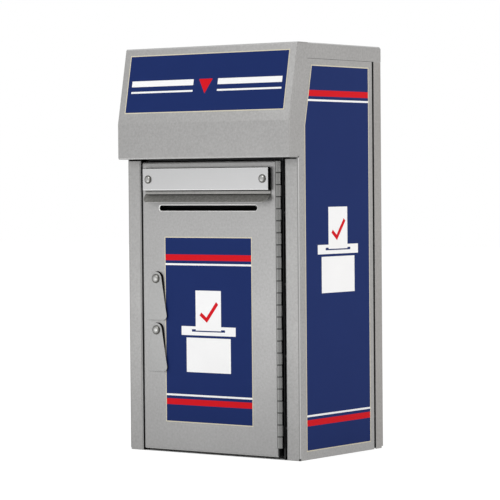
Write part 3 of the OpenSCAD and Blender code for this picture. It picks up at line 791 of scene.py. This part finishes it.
# Painted highlight on the channel's bends, and painted shade on its underside.
bar_highlight = (1.0 - (bar_y * bar_y).above(0.975)) * (bar_y * bar_y).above(0.5)
bar_under_shade = (1.0 - (bar_y * bar_y).above(0.5)) * (1.0 - bar_z.above(-0.3))
bar_grey = bar_finish.tint(bar_cloud * 0.5 + bar_brush * 0.5,
                           (0.470, 0.470, 0.473, 1.0), (0.432, 0.432, 0.434, 1.0))
bar_grey = bar_finish.tint(bar_highlight, bar_grey, (0.66, 0.66, 0.66, 1.0))
satin_steel = bar_finish.show(bar_finish.add("BsdfPrincipled", None, {
    "Base Color": bar_finish.tint(bar_under_shade, bar_grey, (0.03, 0.03, 0.032, 1.0)),
    "Metallic": 1.0 - bar_highlight * 0.5, "Roughness": 0.34 + bar_brush * 0.1, "Normal": bar_bump,
}))
dress(bar, "door", "bright_bar", satin_steel, "slot_bar")
# Painted shade on the channel's back and its open ends.
painted(bar, shade_steel, lambda centre, normal: normal.y > 0.5 or abs(normal.x) > 0.9)


# Carriage bolts. Low domed heads 18 mm across, with a plain shank through the bar and the door.
dome_rings = ((0.14, 0.36), (0.18, 0.28), (0.22, 0.20), (0.24, 0.11))
bolt_rim = 0.0016
head_edge = 0.0003
shank_d = 0.008
shank_edge = 0.0005


def domed_head(name, x, z, y, diameter, rim, height):
    """A domed head that stands out from y: a short cylinder whose end is drawn in, ring by ring."""
    head = round_rod(name, x, z, y - rim, y, diameter)
    for share, rise in dome_rings:
        chosen(head, "FACE", lambda face: face.normal.y < -0.98 and len(face.vertices) > 8)
        bpy.ops.mesh.inset(thickness=share * diameter / 2, depth=rise * (height - rim))
        bpy.ops.object.mode_set(mode="OBJECT")
    return broken_edges(head, head_edge, 2, 40.0)


bolt_low, bolt_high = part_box("bar_bolts")
bolt_head_d = bolt_high.z - bolt_low.z
bolt_z = (bolt_high.z + bolt_low.z) / 2
bolts = []
for bolt_x in (bolt_low.x + bolt_head_d / 2, bolt_high.x - bolt_head_d / 2):
    bolts.append(domed_head("bolt_head", bolt_x, bolt_z, bar_low.y, bolt_head_d, bolt_rim,
                            bar_low.y - bolt_low.y))
    bolts.append(broken_edges(round_rod("bolt_shank", bolt_x, bolt_z, bar_low.y, bolt_high.y, shank_d, 32),
                              shank_edge))
dress(joined("carriage_bolts", *bolts), "door", "bright_fasteners", bright_screws, "bar_bolts")


# Lock covers. Plates cut to a drop shape hang from a domed rivet and swing aside to bare the lock
# behind; their edges are tumbled smooth, with painted highlights on them and painted shade on the
# faces of their cut edges. A thin black rubber pad on the door, shifted to each cover's right, is
# painted shade for the shadow in the gap behind the cover.
cover_top_radius = 0.015
cover_foot_radius = 0.010
cover_edge = 0.0012
pivot_hole_d = 0.0081
pivot_head_h = 0.004
pivot_rim = 0.0014
shoulder_d = 0.016
shoulder_play = 0.0001
washer_d = 0.014
pivot_edge = 0.0004
shoulder_edge = 0.0003
shadow_pad_front = 0.0005
shadow_pad_back = 0.00001
shadow_pad_shift = 0.0012
shadow_pad_growth = 0.0010
shadow_pad_hole = 0.0008
shadow_pad_edge = 0.0001
overrun = 0.002


def drop_plate(name, pivot_x, pivot_z, top_radius, left, right, foot, front, back):
    """A plate in a drop's outline: round at its pivot, and wider at its foot, with two round corners."""
    rounds = [round_rod("round", pivot_x, pivot_z, front, back, 2 * top_radius, 64)]
    for x in (left + cover_foot_radius, right - cover_foot_radius):
        rounds.append(round_rod("round", x, foot + cover_foot_radius, front, back, 2 * cover_foot_radius, 64))
    plate = joined(name, *rounds)
    chosen(plate, "FACE", lambda face: True)
    bpy.ops.mesh.convex_hull()
    bpy.ops.mesh.dissolve_limited(angle_limit=math.radians(0.5))
    bpy.ops.object.mode_set(mode="OBJECT")
    return plate


cover_steel = blasted_steel("tumbled_cover_steel", (0.296, 0.296, 0.293, 1.0), (0.269, 0.269, 0.266, 1.0),
                            0.42, 0.6, 0.99, "tumbled")
for which in ("upper", "lower"):
    low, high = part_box(which + "_lock_cover")
    pivot_low, pivot_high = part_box(which + "_cover_pivot")
    pivot_x = (pivot_low.x + pivot_high.x) / 2
    pivot_z = (pivot_low.z + pivot_high.z) / 2
    cover = drop_plate(which + "_cover_plate", pivot_x, pivot_z, cover_top_radius,
                       low.x, high.x, low.z, low.y, high.y)
    cut_out(cover, round_rod("cutter", pivot_x, pivot_z, low.y - overrun, high.y + overrun, pivot_hole_d))
    broken_edges(cover, cover_edge, 3, 30.0)

    # Painted shade: a black pad on the door, shifted right of the cover, shows in the gap as its shadow.
    shadow_pad_y = (door_face - shadow_pad_front, door_face - shadow_pad_back)
    shadow_pad_right = min(high.x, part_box("door_sign")[0].x - shadow_pad_growth / 2)
    shadow_pad = drop_plate(which + "_cover_shadow_pad", pivot_x + shadow_pad_shift, pivot_z, cover_top_radius + shadow_pad_growth,
                     low.x, shadow_pad_right, low.z, *shadow_pad_y)
    lock_low, lock_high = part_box(which + "_lock_body")
    lock_x = (lock_low.x + lock_high.x) / 2
    lock_z = (lock_low.z + lock_high.z) / 2
    for x, z, diameter in ((pivot_x, pivot_z, shoulder_d), (lock_x, lock_z, lock_high.x - lock_low.x)):
        cut_out(shadow_pad, round_rod("cutter", x, z, shadow_pad_y[0] - overrun, shadow_pad_y[1] + overrun, diameter + shadow_pad_hole))
    broken_edges(shadow_pad, shadow_pad_edge, 1, 30.0)
    dress(shadow_pad, "door", "seal_rubber", rubber)

    dress(cover, which + "_cover", "stainless_sheet", cover_steel, which + "_lock_cover")
    # Painted shade on each cover's back.
    painted(cover, shade_steel, lambda centre, normal: normal.y > 0.3)

    head_y = pivot_low.y + pivot_head_h
    head_d = pivot_high.x - pivot_low.x
    rivet = [domed_head("rivet_head", pivot_x, pivot_z, head_y, head_d, pivot_rim, pivot_head_h)]
    for front, back, diameter, sides, ease in (
        (head_y, pivot_high.y, shank_d, 32, pivot_edge),
        (high.y + shoulder_play, door_face, shoulder_d, 48, shoulder_edge),
        (door_face + sheet_thickness, pivot_high.y, washer_d, 48, shoulder_edge),
    ):
        rivet.append(broken_edges(round_rod("rivet", pivot_x, pivot_z, front, back, diameter, sides), ease))
    dress(joined(which + "_cover_rivet", *rivet), "door", "bright_fasteners", bright_screws,
          which + "_cover_pivot")


# Locks. Each has a plated cylinder with a flat nut, a turning plug with its key slot, and a cam
# held by a screw behind the door.
for which in ("upper", "lower"):
    for part, name, body in (
        ("lock_body", "cylinder", "door"), ("lock_nut", "cylinder_nut", "door"),
        ("lock_plug", "key_plug", which + "_lock"), ("lock_cam", "cam_arm", which + "_lock"),
        ("cam_screw", "cam_bolt", which + "_lock"),
    ):
        node = which + "_" + part
        dress(finished_panel(node, which + "_" + name, screw_edge), body, "lock_metal", bright_screws, node)


# Signs. Blue printed vinyl with a thin cream edge on the hood's slope, the door and the right side.
# The print is plain bands and a ballot going into a box, with a red arrow over the slot.
vinyl_thickness = 0.0003
cream_edge = 0.0022
edge_rise = 0.00014
field_rise = 0.0002
ink_rise = 0.00024
over_rise = 0.00027
ink_step = 0.00001
band_step = 0.015
door_band_in = 0.045
side_band_in = 0.060
hood_line_x = 0.118
hood_line_w = 0.170
hood_arrow = 0.032
slope_run = 0.032
slope_rise = 0.165
slant_run = 0.027
slant_rise = 0.1295


def vinyl(name, colour, roughness=0.42):
    """Printed vinyl: an even colour with the faint unevenness of a squeegeed film."""
    finish = Finish(name)
    place = finish.add("TexCoord", None, None, "Object")
    waves = finish.add("TexNoise", None, {"Vector": place, "Scale": 16.0, "Detail": 1.0})
    pores = finish.add("TexNoise", None, {"Vector": place, "Scale": 700.0, "Detail": 2.0})
    deep = tuple(channel * 0.94 for channel in colour[:3]) + (1.0,)
    bump = finish.add("Bump", None, {"Strength": 0.06, "Distance": 0.0002, "Height": waves + pores * 0.2})
    return finish.show(finish.add("BsdfPrincipled", None, {
        "Base Color": finish.tint(waves, colour, deep), "Roughness": roughness + pores * 0.08,
        "Specular IOR Level": 0.03, "Normal": bump,
    }))


cream = vinyl("cream_vinyl", (0.68, 0.63, 0.49, 1.0))
blue = vinyl("blue_vinyl", (0.0132, 0.0287, 0.129, 1.0))
white = vinyl("white_ink", (0.95, 0.95, 0.95, 1.0))
red = vinyl("red_ink", (0.66, 0.010, 0.018, 1.0))


def shape(material, across, up, width, height, rise, turn=0.0, corners=4):
    """A flat shape of a sign, drawn to face -Y: a rectangle, or a triangle that points down."""
    middle = (across, -rise / 2, up)
    if corners == 3:
        bpy.ops.mesh.primitive_cylinder_add(
            vertices=3, radius=height / 1.5, depth=rise, location=middle, rotation=(-math.pi / 2, 0.0, 0.0))
    else:
        bpy.ops.mesh.primitive_cube_add(size=1.0, location=middle, rotation=(0.0, turn, 0.0))
        bpy.context.active_object.scale = (width, rise, height)
    piece = bpy.context.active_object
    pick(piece)
    bpy.ops.object.transform_apply(location=True, rotation=True, scale=True)
    piece.data.materials.append(material)
    return piece


def field(width, height):
    """A sign's cream edge with its blue field inside it, standing on its lower edge's middle."""
    return [
        shape(cream, 0.0, height / 2, width, height, edge_rise),
        shape(blue, 0.0, height / 2, width - 2 * cream_edge, height - 2 * cream_edge, field_rise),
    ]


def ballot_mark(up, size):
    """A ballot with a red tick on it, going into the slot in a box's lid."""
    parts = []
    for material, above, width, height, rise in (
        (white, -0.31, 0.80, 0.50, ink_rise), (white, 0.04, 0.98, 0.13, ink_rise),
        (blue, 0.045, 0.60, 0.035, over_rise - ink_step), (white, 0.335, 0.46, 0.58, over_rise),
    ):
        parts.append(shape(material, 0.0, up + above * size, width * size, height * size, rise))
    foot_x, foot_z, stroke = -0.03 * size, up + 0.20 * size, 0.055 * size
    for turn, reach, rise in (
        (math.radians(-52), 0.17 * size, vinyl_thickness),
        (math.radians(38), 0.34 * size, vinyl_thickness - ink_step),
    ):
        out = (reach - stroke) / 2
        parts.append(shape(red, foot_x + out * math.sin(turn), foot_z + out * math.cos(turn),
                           stroke, reach, rise, turn))
    return parts


def bands(up, width, step):
    """A broad red band with a thin white one beside it."""
    across = width - 2 * cream_edge
    return [
        shape(red, 0.0, up, across, 0.013, ink_rise), shape(white, 0.0, up + step, across, 0.004, ink_rise),
    ]


def stuck_on(name, parts, body, node, place, turn):
    """Joins a sign's shapes, turns the sign to its panel and sets it in its place."""
    sign = joined(name, *parts)
    sign.data.transform(Matrix.Translation(place) @ turn)
    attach(sign, body)
    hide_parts(node)


flat_low, flat_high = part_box("door_sign")
door_sign_w = flat_high.x - flat_low.x
door_sign_h = flat_high.z - flat_low.z
stuck_on(
    "door_vinyl",
    field(door_sign_w, door_sign_h) + ballot_mark(0.195, 0.15)
    + bands(door_band_in, door_sign_w, band_step)
    + bands(door_sign_h - door_band_in, door_sign_w, -band_step),
    "door", "door_sign",
    Vector(((flat_low.x + flat_high.x) / 2, flat_high.y, flat_low.z)), Matrix.Identity(4),
)

slope_low, slope_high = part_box("hood_sign")
hood_sign_w = slope_high.x - slope_low.x
slope_angle = math.atan2(slope_run, slope_rise)
hood_sign_h = (
    (slope_high.z - slope_low.z - vinyl_thickness * math.sin(slope_angle)) / math.cos(slope_angle)
)
hood_shapes = field(hood_sign_w, hood_sign_h)
for up, height in ((0.066, 0.013), (0.047, 0.004)):
    for across in (-hood_line_x, hood_line_x):
        hood_shapes.append(shape(white, across, up, hood_line_w, height, ink_rise))
hood_shapes.append(shape(red, 0.0, 0.062, hood_arrow, hood_arrow, ink_rise, corners=3))
stuck_on(
    "hood_vinyl", hood_shapes, "cabinet", "hood_sign",
    Vector(((slope_low.x + slope_high.x) / 2, slope_low.y + vinyl_thickness * math.cos(slope_angle),
            slope_low.z)),
    Matrix.Rotation(-slope_angle, 4, "X"),
)

side_low, side_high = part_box("side_sign")
side_sign_w = side_high.y - side_low.y
side_sign_h = side_high.z - side_low.z


def slanted(piece, edge):
    """Cuts the front upper corner of a side shape along the hood's slant."""
    pick(piece)
    bpy.ops.object.mode_set(mode="EDIT")
    bpy.ops.mesh.select_all(action="SELECT")
    bpy.ops.mesh.bisect(
        plane_co=(-side_sign_w / 2 + edge, 0.0, side_sign_h - slant_rise),
        plane_no=(-slant_rise, 0.0, slant_run), use_fill=True, clear_outer=True,
    )
    bpy.ops.object.mode_set(mode="OBJECT")
    return piece


side_field = field(side_sign_w, side_sign_h)
slanted(side_field[0], 0.0)
slanted(side_field[1], cream_edge)
stuck_on(
    "side_vinyl",
    side_field + ballot_mark(0.42, 0.155) + bands(side_band_in, side_sign_w, band_step)
    + [slanted(part, cream_edge) for part in bands(side_sign_h - side_band_in, side_sign_w, -band_step)],
    "cabinet", "side_sign",
    Vector((side_low.x, (side_low.y + side_high.y) / 2, side_low.z)), Matrix.Rotation(math.pi / 2, 4, "Z"),
)
